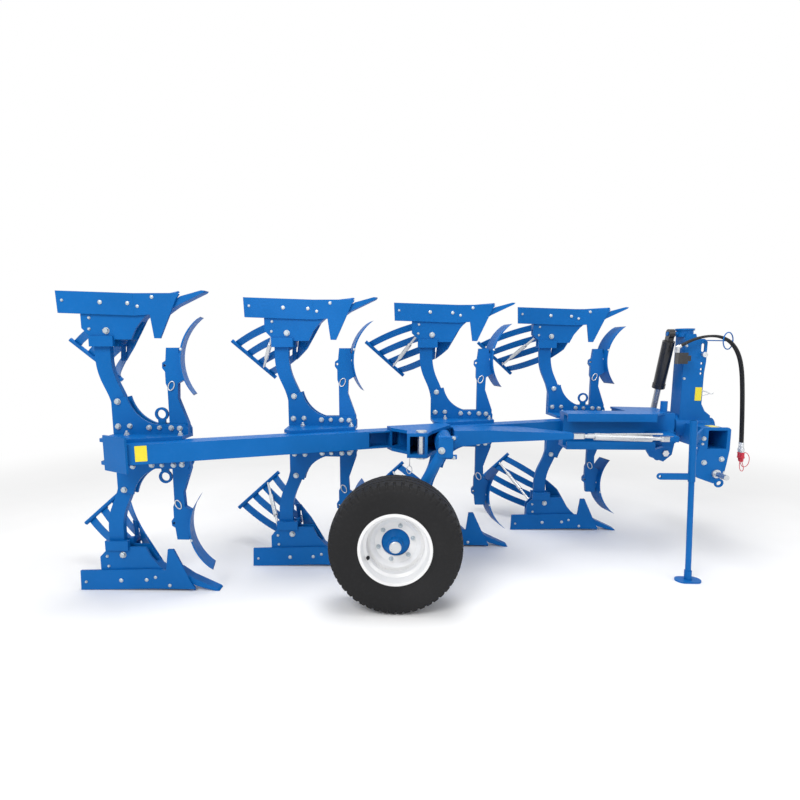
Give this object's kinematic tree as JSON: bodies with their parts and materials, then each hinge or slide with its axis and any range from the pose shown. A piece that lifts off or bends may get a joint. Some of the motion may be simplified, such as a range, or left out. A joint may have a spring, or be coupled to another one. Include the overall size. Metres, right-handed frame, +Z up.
{
  "type": "moldboard plough",
  "caption": "Reversible mounted plough with slatted mouldboards above and below an oblique beam, a depth wheel, a turnover headstock with cylinder, and a parking stand.",
  "frame": {"origin": "on the ground under the middle of the plough's box", "axes": "+X forward, the way it is drawn, +Y to the left, +Z up"},
  "size_m": [4.746, 1.9684, 1.8],
  "materials": {
    "blue_paint": "gloss",
    "white_paint": "gloss",
    "black_paint": "satin",
    "zinc": "zinc plated",
    "chrome_rod": "polished",
    "tyre_rubber": "matte",
    "hose_rubber": "matte",
    "red_plastic": "moulded"
  },
  "bodies": {
    "headstock_body": {"headstock": "blue_paint", "lower_link_pins": "zinc", "top_link_pin": "zinc", "stand_bracket": "blue_paint", "hose_guide": "blue_paint", "valve_block": "black_paint", "valve_fittings": "zinc", "near_hose": "hose_rubber", "far_hose": "hose_rubber", "hose_couplings": "zinc", "dust_caps": "red_plastic"},
    "plough_frame": {"carrier": "blue_paint", "front_beam": "blue_paint", "rear_beam": "blue_paint", "beam_end_plate": "blue_paint", "heads": "blue_paint", "legs": "blue_paint", "frogs": "blue_paint", "landsides": "blue_paint", "knife_plates": "blue_paint", "points": "blue_paint", "shares": "blue_paint", "shins": "blue_paint", "slats": "blue_paint", "slat_front_bars": "blue_paint", "slat_rear_bars": "blue_paint", "slat_stays": "zinc", "skimmer_posts": "blue_paint", "skimmer_blades": "blue_paint", "lifting_eyes": "blue_paint", "wheel_bracket": "blue_paint", "hinge_pin": "zinc", "steering_arm": "blue_paint", "turnbuckle": "zinc"},
    "wheel_arm_body": {"wheel_arm": "blue_paint"},
    "wheel": {"wheel_hub": "blue_paint", "wheel_rim": "white_paint", "tyre": "tyre_rubber"},
    "cylinder_barrel": {"turnover_barrel": "black_paint"},
    "cylinder_rod": {"turnover_rod": "chrome_rod"},
    "stand_leg": {"stand": "blue_paint"}
  },
  "joints": [
    {"name": "turnover", "type": "hinge", "parent": "headstock_body", "child": "plough_frame", "pos_m": [1.976, 0.317, 0.9], "axis": [1, 0, 0], "range_deg": [0, 180]},
    {"name": "wheel_swing", "type": "hinge", "parent": "plough_frame", "child": "wheel_arm_body", "pos_m": [0.191, -0.603, 0.9], "axis": [0, 1, 0], "range_deg": [0, 122]},
    {"name": "wheel_turn", "type": "hinge", "parent": "wheel_arm_body", "child": "wheel", "pos_m": [-0.096, -0.835, 0.38], "axis": [0, 1, 0], "continuous": true},
    {"name": "cylinder_swing", "type": "hinge", "parent": "headstock_body", "child": "cylinder_barrel", "pos_m": [1.922, 0.312, 1.59], "axis": [1, 0, 0], "range_deg": [-33.9, 0.3]},
    {"name": "cylinder_stroke", "type": "slide", "parent": "cylinder_barrel", "child": "cylinder_rod", "axis": [0, 0.2966, -0.955], "range_m": [-0.203, 0.055]},
    {"name": "stand_lift", "type": "slide", "parent": "headstock_body", "child": "stand_leg", "axis": [-0.0432, 0, 0.9991], "range_m": [0, 0.3]}
  ]
}
